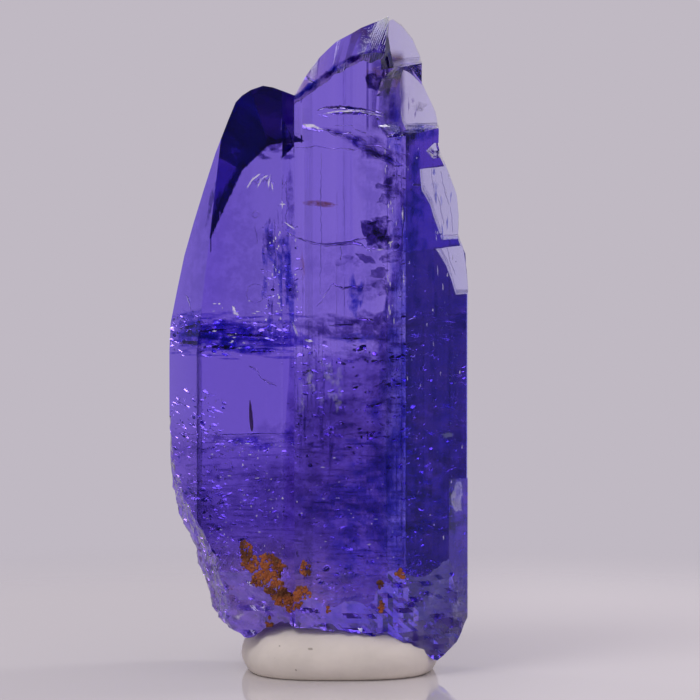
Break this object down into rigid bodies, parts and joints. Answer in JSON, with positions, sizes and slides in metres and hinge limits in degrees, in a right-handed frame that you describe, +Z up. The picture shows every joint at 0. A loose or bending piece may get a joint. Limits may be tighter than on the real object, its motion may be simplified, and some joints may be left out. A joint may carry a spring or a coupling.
{
  "type": "rough tanzanite crystal",
  "caption": "Upright rough violet-blue crystal, a tall prism and a shorter twin grown side by side with a slanting broken top, standing in a low lump of white putty.",
  "frame": {"origin": "on the surface it stands on, under the middle of its box, on the flat underside of the putty", "axes": "+Z up the crystal's length, +X to the right across its broad face, +Y into the crystal from that face"},
  "size_m": [0.014, 0.0093, 0.0309],
  "materials": {
    "tanzanite": "glassy growth faces with fine striations, satin chips and a broken frosty foot",
    "putty": "matt, slightly uneven, off-white"
  },
  "bodies": {
    "root": {"tanzanite_crystal": "tanzanite", "putty_pad": "putty"}
  },
  "joints": []
}
